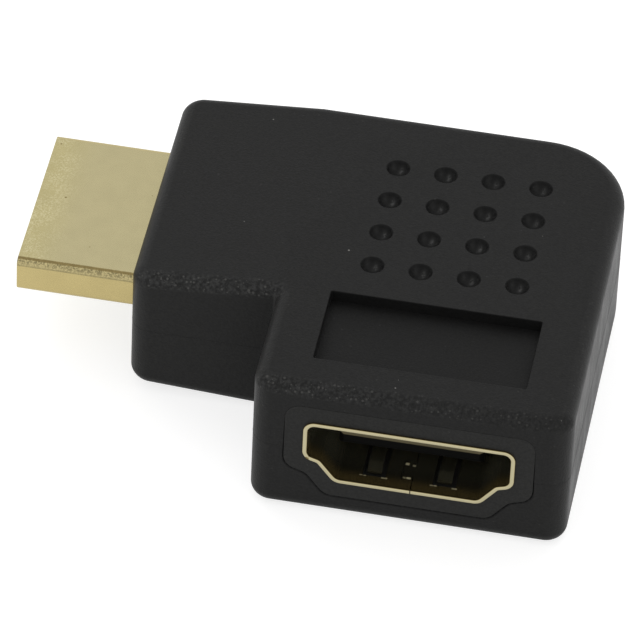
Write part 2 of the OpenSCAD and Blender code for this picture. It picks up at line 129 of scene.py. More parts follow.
class AdapterBody(bpy.types.PropertyGroup):
    """Sizes of the outer moulding that its box doesn't give"""

    socket_leg: length("Socket leg", 22, "Width of the leg that holds the socket")
    plug_leg: length("Plug leg", 20.2, "Width of the leg that holds the plug")
    taper_top: length("Upper taper", 0.85, "Fall of the upper face along the plug leg")
    taper_low: length("Lower taper", 0.55, "Rise of the lower face along the plug leg")
    edge_r: length("Edge radius", 1, "Radius of the edges round the broad faces")
    upright_r: length("Upright radius", 1.5, "Radius of the upright corners")
    notch_r: length("Notch radius", 0.3, "Radius in the inner corner of the notch")
    corner_r: length("Big corner", 6.1, "Radius of the big outer corner, seen from above")
    wall: length("Wall", 1.5, "Wall round the inner moulding's block")
    plug_depth: length("Plug depth", 5.5, "From the plug's end face to the inner moulding's block")
    block_t: length("Block thickness", 7.4, "Thickness of the inner moulding's block")
    lip: length("Opening lip", 0.1, "Rounding of the opening for the plug")
    joint: length("Collar joint", 0.2, "Rounding of the opening for the collar, along its lower side")
    arc_steps: number("Arc steps", 14, "Steps round a quarter turn", 4, 24)


class AdapterDimples(bpy.types.PropertyGroup):
    """The square pattern of grip dimples, above and below"""

    count: number("Count", 4, "Dimples along each side", 1, 5)
    radius: length("Radius", 0.85, "Radius of a dimple at the surface")
    depth: length("Depth", 0.55, "Depth of a dimple")
    rim: length("Rim", 0.07, "Radius that softens a dimple's rim")
    pitch_x: length("Pitch across", 3.37, "Spacing across the socket leg")
    pitch_y: length("Pitch along", 3.49, "Spacing along the socket leg")
    inset: length("Inset", 5.8, "From the back face to the first row")


class AdapterRecess(bpy.types.PropertyGroup):
    """The blank recess in the upper broad face"""

    width: length("Width", 14.7, "Width of the recess")
    length: length("Length", 7, "Length of the recess")
    depth: length("Depth", 0.9, "Depth of the recess")
    inset: length("Inset", 3.1, "From the socket's face to the recess")
    corner_r: length("Corner", 0.15, "Radius of the recess's upright corners")
    rim: length("Rim", 0.06, "Radius that softens the recess's rim")


class AdapterBeads(bpy.types.PropertyGroup):
    """Fine beads along edges and joints"""

    sheet: length("Sheet", 0.3, "Thickness of the shells' sheet, whose rounded edge shows at the openings")
    proud: length("Proud", 0.04, "How far a rounded edge stands out of the opening")
    seam: length("Seam", 0.24, "From the middle of a shell to its seam")
    seam_gap: length("Seam gap", 0.07, "Opening of the seam at the rim")
    parting: length("Parting line", 0.01, "Radius of the mould's parting line")


class AdapterFinishes(bpy.types.PropertyGroup):
    """Colours of the finishes and of painted light and shade, and the places where some of them change"""

    vinyl: tint("Vinyl", (0.0145, 0.0145, 0.0142), "Outer moulding")
    polymer: tint("Polymer", (0.0205, 0.0205, 0.0197), "Inner moulding")
    # Colour of dust specks, and of the painted glints on the grain along the edges
    dust: tint("Dust", (0.2, 0.195, 0.185), "Specks and rubbed grain on the mouldings")
    plug_gold: tint("Plug plating", (0.475, 0.42, 0.238), "Pale gold plating of the plug")
    socket_gold: tint("Socket plating", (0.525, 0.475, 0.3), "Pale gold plating of the socket")
    # Painted light: a warmer copy of the plug's plating for its sides and, in part, its folds
    side_gold: tint("Plug's sides", (0.532, 0.437, 0.2), "Warmer plating on the plug's sides")
    tip_gold: tint("Plug's tip", (0.475, 0.412, 0.19), "Warmer plating on the plug's tip")
    # Colour of the bright flecks at the plug's tip, and of the painted glints in the socket
    fleck: tint("Fleck", (0.72, 0.66, 0.42), "Bright flecks at the plug's tip, and burrs")
    fold_r: length("Fold radius", 0.48, "Radius of the folds along the plug's wide face")
    # Colour of the plug's pits, and of painted shade and dark painted reflections: at the plug's front fold,
    # round the socket's rim and inside it
    tarnish: tint("Tarnish", (0.22, 0.165, 0.065), "Brown tarnish in folds and deep places of the plating")
    # Painted shade: the dark colour that the socket's plating is given deeper in
    deep: tint("Deep plating", (0.095, 0.092, 0.063), "Dull plating deep in the socket")
    insulator: tint("Insulator", (0.0038, 0.0038, 0.0035), "Glass-filled black polymer")
    # Colour of the painted highlight along the upper front bevel of the tongue
    rubbed: tint("Rubbed edge", (0.19, 0.165, 0.1), "Rubbed upper edge of the tongue")
    edge_z: length("Edge height", 6.525, "Height of the lower side of the tongue's upper bevel")
    contact_gold: tint("Contact gold", (0.83, 0.62, 0.26), "Gold on the contacts")
    lacquer: tint("Board lacquer", (0.018, 0.12, 0.045), "Green lacquer of the board")
    tin: tint("Tin", (0.62, 0.62, 0.6), "Tin on the board's pads")


class AdapterStudio(bpy.types.PropertyGroup):
    """Camera, floor and light"""

    azimuth: bearing("Azimuth", 8.5007, "Turn of the camera round the object")
    elevation: bearing("Elevation", 41.8112, "Height of the camera's view")
    roll: bearing("Roll", 2.7529, "Turn of the picture about the view")
    lens: amount("Lens", 397.4, "Focal length on a 36 mm sensor, in millimetres", 20, 800)
    distance: length("Distance", 487.95, "From the aim to the camera, along the view")
    floor: tint("Floor", (0.5, 0.5, 0.498), "Colour of the floor")
    ambient: amount("Ambient", 0.7, "Light from all round on plain surfaces")
    softbox: amount("Softbox", 1.95, "Power of the lamp above and behind, in watts", 0, 100)


# Outlines


def unit(v):
    return v / v.length


def corners(*points):
    return [Vector(p) for p in points]


def rectangle(left, front, right, back):
    return corners((left, front), (right, front), (right, back), (left, back))


def neighbours(outline):
    """Each point of a closed outline, between the one before it and the one after it"""
    return zip(outline[-1:] + outline[:-1], outline, outline[1:] + outline[:1])


def bend(a, p, b, r, steps):
    """Arc that rounds the corner p between a and b"""
    if r == 0:
        return [p]
    u, v = unit(a - p), unit(b - p)
    half = u.angle(v) / 2
    centre = p + unit(u + v) * r / math.sin(half)
    start, end = p + u * r / math.tan(half) - centre, p + v * r / math.tan(half) - centre
    turn = -start.angle_signed(end)
    return [centre + Matrix.Rotation(turn * k / steps, 2) @ start for k in range(steps + 1)]


def grown(outline, by):
    """Outline moved outwards by a distance"""
    moved = []
    for before, p, after in neighbours(outline):
        n1, n2 = (Vector((d.y, -d.x)) for d in (unit(p - before), unit(after - p)))
        moved.append(p + (n1 + n2) * by / (1 + n1.dot(n2)))
    return moved


def rounded(outline, radii, steps):
    """Closed outline with one radius for each corner"""
    return [q for corner, r in zip(neighbours(outline), radii) for q in bend(*corner, r, steps)]


def runs(outline):
    """Direction in which a closed outline runs at each of its points"""
    return [after - before for before, p, after in neighbours(outline)]


def girth(outline):
    return sum((after - p).length for before, p, after in neighbours(outline))


def without_spares(outline, near=0.002 * MM, straight=math.radians(0.5)):
    """Closed outline without its doubled points and the points on its straight runs"""
    outline = [p for before, p, after in neighbours(outline) if (p - before).length > near]
    return [p for before, p, after in neighbours(outline) if (p - before).angle(after - p) > straight]


def section(node, point, normal):
    """Closed outlines where a plane cuts a CAD node, the longest first"""
    cut = bmesh.new()
    cut.from_mesh(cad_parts[node].data)
    bmesh.ops.remove_doubles(cut, verts=cut.verts, dist=MM / 10000)
    everything = cut.verts[:] + cut.edges[:] + cut.faces[:]
    found = bmesh.ops.bisect_plane(cut, geom=everything, plane_co=point, plane_no=normal)["geom_cut"]
    edges = dict.fromkeys(item for item in found if isinstance(item, bmesh.types.BMEdge))
    loops = []
    while edges:
        first, here = edges.popitem()[0].verts
        loop = [first.co.copy(), here.co.copy()]
        while step := next((e for e in here.link_edges if e in edges), None):
            del edges[step]
            here = step.other_vert(here)
            loop.append(here.co.copy())
        loops.append(without_spares(loop[:-1]))
    cut.free()
    return sorted(loops, key=girth, reverse=True)


def flat(loop, across, up):
    """Outline in two coordinates, counter-clockwise"""
    points = [Vector((p.dot(across), p.dot(up))) for p in loop]
    turn = sum(p.x * after.y - after.x * p.y for before, p, after in neighbours(points))
    return points if turn > 0 else points[::-1]


def crosswise(axis):
    """Level direction across a face that is square to an axis"""
    return SIDE if axis == BACK else -BACK


def on_face(axis, level):
    """Places points in two coordinates on the face at a level of an axis"""
    return lambda p: crosswise(axis) * p.x + UP * p.y + axis * level


def at_height(z):
    """Places points in two coordinates at a height"""
    return lambda p: Vector((p.x, p.y, z))


def opening(node, face, axis, behind=0.3 * MM):
    """Outline of the hole in a node's face, measured just behind it, in two coordinates"""
    return flat(section(node, axis * (face + behind), axis)[1], crosswise(axis), UP)


def ends_at_middle(outline):
    """Where an outline crosses the middle level, low and high"""
    crossings = [
        p.x + (after.x - p.x) * (Z_MID - p.y) / (after.y - p.y)
        for before, p, after in neighbours(outline)
        if (p.y > Z_MID) != (after.y > Z_MID)
    ]
    return min(crossings), max(crossings)


# Meshes


def shell(rings, caps=True):
    """Closed shell through rings that have the same number of points, with its vertices made ring by ring"""
    made = bmesh.new()
    rows = [[made.verts.new(p) for p in ring] for ring in rings]
    for low, high in zip(rows, rows[1:]):
        for quad in zip(low, low[1:] + low[:1], high[1:] + high[:1], high):
            made.faces.new(quad)
    if caps:
        made.faces.new(rows[0])
        made.faces.new(rows[-1])
        bmesh.ops.recalc_face_normals(made, faces=made.faces)
    return made, rows


def mark(made, name, values):
    """Writes one value for each vertex, in the order in which they were made"""
    layer = made.verts.layers.float.new(name)
    for vertex, value in zip(made.verts, values):
        vertex[layer] = value
    return made


def put(name, data):
    """Puts a new object into the scene"""
    obj = bpy.data.objects.new(name, data)
    bpy.context.scene.collection.objects.link(obj)
    return obj


def settle_in(name, made):
    """Puts a bmesh into a new object"""
    mesh = bpy.data.meshes.new(name)
    made.to_mesh(mesh)
    made.free()
    return put(name, mesh)


def plain(obj):
    """Makes the evaluated result the object's own plain mesh, and takes its modifiers off"""
    depsgraph = bpy.context.evaluated_depsgraph_get()
    mesh = bpy.data.meshes.new_from_object(obj.evaluated_get(depsgraph), depsgraph=depsgraph)
    obj.modifiers.clear()
    obj.data = mesh
    return obj


def carve(obj, *cutters):
    """Cuts closed shells out of an object"""
    for cutter in cutters:
        modifier = obj.modifiers.new(cutter.name, "BOOLEAN")
        modifier.object, modifier.operation, modifier.solver = cutter, "DIFFERENCE", "MANIFOLD"
    plain(obj)
    for cutter in cutters:
        bpy.data.objects.remove(cutter)


def smooth(obj, angle=32):
    """Shades bends smooth, and keeps flat faces flat and edges past this angle sharp"""
    obj.data.polygons.foreach_set("use_smooth", [True] * len(obj.data.polygons))
    obj.data.set_sharp_from_angle(angle=math.radians(angle))
    modifier = obj.modifiers.new("flat_faces", "WEIGHTED_NORMAL")
    modifier.keep_sharp = True
    return plain(obj)


def prism(outline, place, out, low, high):
    """Straight prism between two levels along out"""
    return shell([[place(p) + out * level for p in outline] for level in (low, high)])[0]


def flared(outline, depth, rim, place, out, tone, share=lambda p: 1, steps=5):
    """Cutter whose mouth opens in a soft rim, with painted shading that fades over the rim

    The outline lies in the plane, the depth goes down from it, and out points along the opening. The share is
    how wide the rim and how strong the painted shading is at each point of the outline.
    """
    shares = [share(p) for p in outline]

    def ring(by, down):
        wide = grown(outline, by)
        return [place(p.lerp(q, part)) - out * down for p, q, part in zip(outline, wide, shares)]

    rings, painted_shadings = [ring(0, depth)], [tone]
    for k in range(steps + 1):
        angle = math.radians(90) * k / steps
        rings.append(ring(rim * (1 - math.cos(angle)), rim * (1 - math.sin(angle))))
        painted_shadings.append(tone * (1 - (k / steps) ** 2))
    rings.append(ring(rim, -rim))
    painted_shadings.append(0)
    return mark(shell(rings)[0], "tone", [t * part for t in painted_shadings for part in shares])


# Node trees


def feed(tree, node, sockets):
    """Links or sets a node's inputs, given by name or number"""
    for name, value in sockets.items():
        if isinstance(value, bpy.types.NodeSocket):
            tree.links.new(value, node.inputs[name])
        else:
            node.inputs[name].default_value = value


def add(tree, kind, sockets=None, **settings):
    """Adds a node, with its settings and its inputs' values or links"""
    node = tree.nodes.new(kind)
    for name, value in settings.items():
        setattr(node, name, value)
    feed(tree, node, sockets or {})
    return node


def flow(tree, kind, sockets=None, **settings):
    """Adds a node and gives its first output"""
    return add(tree, kind, sockets, **settings).outputs[0]


def name_inputs(tree, sockets):
    """Makes a tree's inputs, given as name: kind, and gives their outputs inside it"""
    for label, kind in sockets.items():
        tree.interface.new_socket(label, in_out="INPUT", socket_type="NodeSocket" + kind)
    return add(tree, "NodeGroupInput").outputs


class Mix:
    """Short words for the maths in a node tree, and for noise at a spot"""

    def __init__(self, tree, spot=None):
        self.tree, self.spot = tree, spot

    def math(self, operation, *values, clamp=False):
        sockets = dict(enumerate(values))
        return flow(self.tree, "ShaderNodeMath", sockets, operation=operation, use_clamp=clamp)

    def chain(self, operation, first, *others):
        for other in others:
            first = self.math(operation, first, other)
        return first

    def times(self, *values):
        return self.chain("MULTIPLY", *values)

    def plus(self, *values):
        return self.chain("ADD", *values)

    def less(self, a, b):
        return self.math("SUBTRACT", a, b)

    def most(self, *values):
        return self.chain("MAXIMUM", *values)

    def gap(self, value, place):
        """How far a value is from a place"""
        return self.math("ABSOLUTE", self.less(value, place))

    def ramp(self, value, low, high, to_low=0.0, to_high=1.0):
        """Smooth step of a value between two levels"""
        places = {"Value": value, "From Min": low, "From Max": high, "To Min": to_low, "To Max": to_high}
        return flow(self.tree, "ShaderNodeMapRange", places, interpolation_type="SMOOTHSTEP")

    def fall(self, value, low, high):
        """1 below one level, fading to 0 above another"""
        return self.ramp(value, low, high, 1.0, 0.0)

    def near(self, value, place, reach, soft):
        """1 within reach of a place, fading to 0 over a soft edge"""
        return self.fall(self.gap(value, place), reach, reach + soft)

    def scaled(self, colour, by):
        """Colour made lighter or darker by a factor"""
        return flow(self.tree, "ShaderNodeVectorMath", {0: colour, "Scale": by}, operation="SCALE")

    def lerp(self, share, a, b):
        """Mix of two values"""
        return flow(self.tree, "ShaderNodeMix", {0: share, 2: a, 3: b}, data_type="FLOAT")

    def blend(self, share, a, b):
        """Mix of two colours"""
        return add(self.tree, "ShaderNodeMix", {0: share, 6: a, 7: b}, data_type="RGBA").outputs[2]

    def noise(self, size, detail=2.0, roughness=0.5):
        """Noise whose features have about this size, in metres"""
        linked = isinstance(size, bpy.types.NodeSocket)
        scale = self.math("DIVIDE", 1.0, size) if linked else 1 / size
        sockets = {"Vector": self.spot, "Scale": scale, "Detail": detail, "Roughness": roughness}
        return flow(self.tree, "ShaderNodeTexNoise", sockets)


def grow_tree(name, sockets):
    """Geometry node tree with its geometry, named inputs given as name: kind, and a material"""
    tree = bpy.data.node_groups.new(name, "GeometryNodeTree")
    given = name_inputs(tree, {"Geometry": "Geometry", **sockets, "Material": "Material"})
    tree.interface.new_socket("Geometry", in_out="OUTPUT", socket_type="NodeSocketGeometry")
    return tree, given


def finish_tree(tree, given, geometry):
    """Ends a geometry node tree in real geometry with the given material"""
    real = flow(tree, "GeometryNodeRealizeInstances", {"Geometry": geometry})
    faced = flow(tree, "GeometryNodeSetMaterial", {"Geometry": real, "Material": given["Material"]})
    add(tree, "NodeGroupOutput", {"Geometry": faced})
    return tree


def run_tree(obj, tree, values):
    """Runs a geometry node tree on an object, its inputs set by identifier, and keeps the plain result"""
    modifier = obj.modifiers.new(tree.name, "NODES")
    modifier.node_group = tree
    for item in tree.interface.items_tree:
        if item.in_out == "INPUT" and item.name in values:
            modifier[item.identifier] = values[item.name]
    return plain(obj)


def bead_tree():
    """Sweeps a round bead along a path, squeezes it and puts it in its place"""
    sizes = {"Radius": "Float", "Sides": "Int", "Squeeze": "Vector", "Place": "Vector"}
    tree, given = grow_tree("bead", sizes)
    path = flow(tree, "GeometryNodeMeshToCurve", {"Mesh": given["Geometry"]})
    round_sizes = {"Resolution": given["Sides"], "Radius": given["Radius"]}
    circle = flow(tree, "GeometryNodeCurvePrimitiveCircle", round_sizes)
    sweep = {"Curve": path, "Profile Curve": circle, "Fill Caps": True}
    swept = flow(tree, "GeometryNodeCurveToMesh", sweep)
    place = {"Geometry": swept, "Translation": given["Place"], "Scale": given["Squeeze"]}
    return finish_tree(tree, given, flow(tree, "GeometryNodeTransform", place))


def bead(name, paths, values):
    """A bead along each open path, with its faces outwards"""
    made = bmesh.new()
    for path in paths:
        row = [made.verts.new(p) for p in path]
        for a, b in zip(row, row[1:]):
            made.edges.new((a, b))
    obj = run_tree(settle_in(name, made), bpy.data.node_groups.get("bead") or bead_tree(), values)
    made = bmesh.new()
    made.from_mesh(obj.data)
    bmesh.ops.recalc_face_normals(made, faces=made.faces)
    made.to_mesh(obj.data)
    made.free()
    return smooth(obj, 60)


# Shader node groups, each of which takes a Vector and some sizes


def shader_group(name, sizes, outputs):
    """Shader node group with named inputs and outputs"""
    tree = bpy.data.node_groups.new(name, "ShaderNodeTree")
    given = name_inputs(tree, {"Vector": "Vector", **dict.fromkeys(sizes, "Float")})
    for label in outputs:
        tree.interface.new_socket(label, in_out="OUTPUT", socket_type="NodeSocketFloat")
    return tree, given, Mix(tree, given["Vector"])


def moulded_grain(name):
    """Spark-eroded grain of a mould: its height, the roughness that goes with it, and clouds of shade"""
    tree, given, mix = shader_group(name, ["Size"], ["Height", "Roughness", "Shade"])
    coarse = mix.noise(given["Size"], 2, 0.6)
    fine = mix.noise(mix.times(given["Size"], 0.4), 1)
    clouds = mix.noise(mix.times(given["Size"], 24))
    height = mix.plus(mix.ramp(coarse, 0.3, 0.7), mix.times(fine, 0.4))
    rough = mix.plus(mix.times(clouds, 0.5), mix.times(fine, 0.5))
    add(tree, "NodeGroupOutput", {"Height": height, "Roughness": rough, "Shade": clouds})


def draw_marks(name):
    """Fine upright streaks that a mould leaves on walls as the piece is drawn from it"""
    tree, given, mix = shader_group(name, ["Size"], ["Mask"])
    streak = {0: given["Vector"], 1: (1, 1, 0.04)}
    mix.spot = flow(tree, "ShaderNodeVectorMath", streak, operation="MULTIPLY")
    fine = mix.noise(given["Size"], 2, 0.6)
    broad = mix.noise(mix.times(given["Size"], 6), 1)
    add(tree, "NodeGroupOutput", {"Mask": mix.ramp(mix.plus(fine, mix.times(broad, 0.5)), 0.55, 1.0)})


def stray_specks(name):
    """Mask of small bright specks, one to a cell in a share of the cells"""
    tree, given, mix = shader_group(name, ["Spacing", "Radius", "Share"], ["Mask"])
    scale = mix.math("DIVIDE", 1.0, given["Spacing"])
    cells = add(tree, "ShaderNodeTexVoronoi", {"Vector": given["Vector"], "Scale": scale}).outputs
    draw = add(tree, "ShaderNodeSeparateColor", {0: cells["Color"]}).outputs
    radius = mix.times(given["Radius"], scale, mix.ramp(draw[1], 0, 1, 0.5, 1.5))
    speck = mix.fall(cells["Distance"], mix.times(radius, 0.6), radius)
    kept = mix.math("LESS_THAN", draw[0], given["Share"])
    add(tree, "NodeGroupOutput", {"Mask": mix.times(speck, kept)})


# Finishes


class Look(Mix):
    """A new material, with words for its Principled BSDF; its spot is the object coordinates"""

    def __init__(self, name):
        self.material = bpy.data.materials.new(name)
        self.material.use_nodes = True
        tree = self.material.node_tree
        tree.nodes.clear()
        super().__init__(tree, add(tree, "ShaderNodeTexCoord").outputs["Object"])
        self.shader = add(tree, "ShaderNodeBsdfPrincipled")
        add(tree, "ShaderNodeOutputMaterial", {"Surface": self.shader.outputs[0]})

    def give(self, name, value):
        """Links or sets an input of the shader"""
        feed(self.tree, self.shader, {name: value})

    def axes(self):
        """The spot's x, y and z"""
        return add(self.tree, "ShaderNodeSeparateXYZ", {0: self.spot}).outputs

    def colour(self):
        """What the shader's colour comes from so far"""
        return self.shader.inputs["Base Color"].links[0].from_socket

    def bump(self, height, strength, depth):
        bump = {"Strength": strength, "Distance": depth, "Height": height}
        self.give("Normal", flow(self.tree, "ShaderNodeBump", bump))

    def used(self, group, **sizes):
        """Places a node group, made once, at the spot"""
        name = group.__name__.replace("_", " ")
        if name not in bpy.data.node_groups:
            group(name)
        values = {"Vector": self.spot, **{label.capitalize(): size for label, size in sizes.items()}}
        return add(self.tree, "ShaderNodeGroup", values, node_tree=bpy.data.node_groups[name]).outputs


def lit(colour, by=1):
    """Colour for a socket, lighter or darker by a factor"""
    return (*(min(1, c * by) for c in colour), 1.0)


def vinyl_finish(name, colour, dust, grain_size, grain_depth, stray_share):
    """Grained black moulding: draw marks on its walls, painted sheen and glints along its edges, dust specks,
    and the painted shading that its mesh carries
    """
    look = Look(name)
    rub, wall, tone = (
        add(look.tree, "ShaderNodeAttribute", attribute_name=kind).outputs["Fac"]
        for kind in ("rub", "wall", "tone")
    )
    grain = look.used(moulded_grain, size=grain_size)
    marks = look.times(look.used(draw_marks, size=0.11 * MM)["Mask"], wall)
    # Specks, by spacing and radius in millimetres and share of the cells: dust, faint specks and painted
    # glints
    specks, faint, glints = (
        look.used(stray_specks, spacing=spacing * MM, radius=radius * MM, share=share)["Mask"]
        for spacing, radius, share in ((1.9, 0.06, stray_share), (0.8, 0.07, 0.4), (0.26, 0.075, 0.6))
    )

    shade = look.blend(grain["Shade"], lit(colour, 0.88), lit(colour, 1.12))
    shade = look.scaled(shade, look.ramp(look.noise(0.2 * MM, 2, 0.6), 0.3, 0.7, 0.86, 1.14))
    shade = look.blend(look.times(marks, 0.5), shade, lit(colour, 2))
    # Painted sheen: the grain is mottled lighter along the edges
    mottle = look.ramp(look.noise(0.24 * MM, 3, 0.65), 0.36, 0.7)
    shade = look.blend(look.times(mottle, rub), shade, lit(colour, 2.8))
    # Painted light and shade from the mesh, made patchy where it is strong
    patchy = look.ramp(look.noise(0.17 * MM, 3, 0.65), 0.36, 0.64, 0.1, 2.0)
    strong = look.ramp(look.math("ABSOLUTE", tone), 0.3, 0.6)
    uneven = look.times(tone, look.lerp(strong, 1.0, patchy))
    shade = look.scaled(shade, look.most(look.plus(1.0, uneven), 0.08))
    # Dust specks, faint specks and painted glints along the edges
    bright = look.most(specks, look.times(faint, 0.06), look.times(glints, rub, 0.25))
    look.give("Base Color", look.blend(bright, shade, lit(dust)))

    rough = look.ramp(grain["Roughness"], 0.3, 0.7, 0.42, 0.56)
    drawn = look.times(wall, look.ramp(marks, 0.0, 1.0, 0.13, 0.05))
    look.give("Roughness", look.less(rough, drawn))
    look.bump(grain["Height"], 1.0, grain_depth)
    look.give("Specular IOR Level", 0.1)
    return look


def plating(name, roughness):
    """Plating on rolled sheet: a new look, and how its shade changes from place to place"""
    look = Look(name)
    cloud = look.noise(1.6 * MM, 3, 0.6)
    fine = look.noise(0.16 * MM, 2, 0.6)
    look.give("Roughness", look.ramp(fine, 0.3, 0.7, roughness * 0.8, roughness * 1.2))
    look.bump(fine, 0.5, 0.004 * MM)
    look.give("Metallic", 1.0)
    return look, look.ramp(cloud, 0.0, 1.0, 0.95, 1.05)


def plug_finish(finish):
    """Plating of the plug, with painted light on its sides, painted reflections at its front fold, flecked at
    its tip and pitted here and there
    """
    look, cloud = plating("plug_plating", 0.28)
    x, y, z = look.axes()
    out = look.gap(y, PLUG_Y)
    fold = (PLUG_HIGH.y - PLUG_LOW.y) / 2 - finish.fold_r
    side = PLUG_HIGH.z - finish.fold_r
    soft = 0.05 * MM

    outside = look.ramp(out, fold - soft, fold + soft)
    on_side = look.times(outside, look.fall(z, side - soft, side + soft))
    on_bend = look.less(outside, on_side)
    on_top = look.less(1.0, outside)
    # Painted light: the sides, and the folds in part, get a warmer copy of the plating
    side_painted_share = look.plus(on_side, look.times(on_bend, 0.6))
    shade = look.scaled(look.blend(side_painted_share, lit(finish.plug_gold), lit(finish.side_gold)), cloud)

    # Painted reflections on the front fold: a darker mottle, a dark crease line above it and a fine dark line
    # below
    mottle = look.ramp(look.noise(0.13 * MM, 3, 0.7), 0.4, 0.62, 0.36, 1.05)
    high = look.ramp(z, side, PLUG_HIGH.z)
    front = look.fall(y, PLUG_Y - MM, PLUG_Y)
    mottled = look.times(on_bend, front, look.lerp(high, 0.35, 1.0))
    shade = look.scaled(shade, look.lerp(mottled, 1.0, mottle))
    crease = look.times(look.near(out, fold + 0.12 * MM, 0.06 * MM, 0.09 * MM), high, front)
    line = look.times(look.near(z, side + 0.03 * MM, 0.04 * MM, 0.05 * MM), outside)
    shade = look.blend(look.times(crease, 0.9), shade, lit(finish.tarnish))
    shade = look.scaled(shade, look.lerp(line, 1.0, 0.74))

    tip = look.times(look.fall(x, PLUG_LOW.x + 0.4 * MM, PLUG_LOW.x + 3.4 * MM), on_top)
    flecks = look.ramp(look.noise(0.14 * MM, 2, 0.7), 0.4, 0.7)
    patches = look.ramp(look.noise(1.8 * MM), 0.35, 0.6, 0.3, 1.0)
    shade = look.blend(look.times(tip, 0.6), shade, look.scaled(tuple(finish.tip_gold), cloud))
    shade = look.blend(look.times(tip, flecks, patches, 0.65), shade, lit(finish.fleck))
    pits = []
    for px, py, size in PITS:
        aside, along = look.less(x, PLUG_LOW.x + px * MM), look.less(y, PLUG_Y + py * MM)
        away = look.math("SQRT", look.plus(look.times(aside, aside), look.times(along, along)))
        pits.append(look.fall(away, size * 0.4 * MM, size * MM))
    shade = look.blend(look.times(look.most(*pits), on_top), shade, lit(finish.tarnish))
    look.give("Base Color", shade)
    return look


def socket_finish(finish):
    """Plating of the socket: gold on the rim's front, with painted shade round it and inside, painted light
    far in, and painted glints at its windows and seam
    """
    look, cloud = plating("socket_plating", 0.22)
    x, y, z = look.axes()
    depth = look.less(y, SOCKET_LOW.y)
    below = look.fall(z, Z_MID - MM, Z_MID)
    shade = look.scaled(tuple(finish.socket_gold), cloud)
    # Painted shade: brown just behind the rim's front, a dark colour deeper in, and painted light that makes
    # it paler again far in
    shade = look.blend(look.ramp(depth, -0.03 * MM, -0.01 * MM), shade, lit(finish.tarnish))
    shade = look.blend(look.ramp(depth, 0.4 * MM, 1.6 * MM), shade, lit(finish.deep))
    shade = look.scaled(shade, look.ramp(depth, 0.8 * MM, 3 * MM, 1.0, 2.4))

    # Painted shade on the lower wall, darker in the middle, but for the free ends of its spring fingers
    middle = look.times(look.near(x, SOCKET_X, 4.6 * MM, MM), look.ramp(depth, 0.6 * MM, 1.4 * MM), below)
    fingers = look.most(*(look.near(x, SOCKET_X + fx * MM, 0.55 * MM, 0.1 * MM) for fx in FINGERS))
    fingers = look.times(fingers, look.ramp(depth, 1.2 * MM, 2.6 * MM, 1.0, 0.1))
    shade = look.scaled(shade, look.lerp(middle, 1.0, look.lerp(fingers, 0.58, 1.0)))
    # Painted glints at the corners of the windows and at the seam
    painted_glints = []
    for bx, by, wide, long, share in PAINTED_GLINTS:
        across = look.near(x, SOCKET_X + bx * MM, wide / 2 * MM, 0.06 * MM)
        painted_glints.append(look.times(across, share, look.near(depth, by * MM, long / 2 * MM, 0.05 * MM)))
    painted_glint = look.times(look.most(*painted_glints), below)
    look.give("Base Color", look.blend(painted_glint, shade, lit(finish.fleck)))
    # Less metallic deeper in and at the painted glints
    metal = look.lerp(look.ramp(depth, 0.0, 0.2 * MM), 1.0, 0.75)
    look.give("Metallic", look.math("SUBTRACT", metal, look.times(painted_glint, 0.7), clamp=True))
    return look


def solid_finish(name, colour, roughness, metallic=0.0, grain=0.1 * MM, depth=0.004 * MM):
    """Plain moulded or plated surface with a fine grain"""
    look = Look(name)
    grained = look.used(moulded_grain, size=grain)
    look.give("Base Color", look.blend(grained["Shade"], lit(colour, 0.9), lit(colour, 1.1)))
    rough = look.ramp(grained["Roughness"], 0.3, 0.7, roughness * 0.85, roughness * 1.15)
    look.give("Roughness", rough)
    look.bump(grained["Height"], 0.6, depth)
    look.give("Metallic", metallic)
    return look


def board_finish(finish):
    """Green lacquer, with tinned pads that stand a little out of both faces"""
    look = solid_finish("board", finish.lacquer, 0.35)
    face = (BOARD_HIGH.z - BOARD_LOW.z) / 2
    pad = look.ramp(look.gap(look.axes()["Z"], Z_MID), face - 0.04 * MM, face - 0.02 * MM)
    look.give("Base Color", look.blend(pad, look.colour(), lit(finish.tin)))
    look.give("Metallic", pad)
    return look


def insulator_finish(finish):
    """Glass-filled black polymer, with a painted highlight along the upper front edge of the tongue"""
    look = solid_finish("insulator", finish.insulator, 0.5)
    axes, soft = look.axes(), 0.03 * MM
    # Painted highlight on the tongue's upper front bevel
    front = look.near(axes["Y"], TONGUE_LOW.y, 0.6 * MM, 0.2 * MM)
    edge = look.times(front, look.ramp(axes["Z"], finish.edge_z - soft, finish.edge_z + soft))
    look.give("Base Color", look.blend(edge, look.colour(), lit(finish.rubbed)))
    look.give("Specular IOR Level", 0.02)
    return look


def dress(nodes, look):
    """Gives CAD nodes a better material"""
    for node in nodes:
        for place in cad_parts[node].material_slots:
            place.material = look.material


# Pieces


def settings():
    return bpy.context.scene.adapter


def piece(obj, slot, *replaced):
    """Makes a finished object a piece of the adapter"""
    if replaced:
        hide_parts(*replaced)
    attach(obj, BODY)


def body_ring(body, angle, side):
    """One level of the body: the angle goes from 0 on the side walls to 90 degrees on a broad face"""
    x_notch = BODY_HIGH.x - body.socket_leg
    y_notch = BODY_HIGH.y - body.plug_leg
    x_taper = x_notch - body.notch_r
    plan = corners(
        (BODY_LOW.x, y_notch),
        (x_notch, y_notch),
        (x_notch, BODY_LOW.y),
        (BODY_HIGH.x, BODY_LOW.y),
        (BODY_HIGH.x, BODY_HIGH.y),
        (x_taper, BODY_HIGH.y),
        (BODY_LOW.x, BODY_HIGH.y),
    )
    inset = body.edge_r * (1 - math.cos(angle))
    half_t = (BODY_HIGH.z - BODY_LOW.z) / 2 - body.edge_r * (1 - math.sin(angle))
    convex = body.upright_r - inset
    radii = [convex, body.notch_r + inset, convex, convex, body.corner_r - inset, 0, convex]
    slope = (body.taper_top if side > 0 else body.taper_low) / (x_taper - BODY_LOW.x)
    return [
        Vector((p.x, p.y, Z_MID + side * (half_t - max(0, x_taper - p.x) * slope)))
        for p in rounded(grown(plan, -inset), radii, body.arc_steps)
    ]


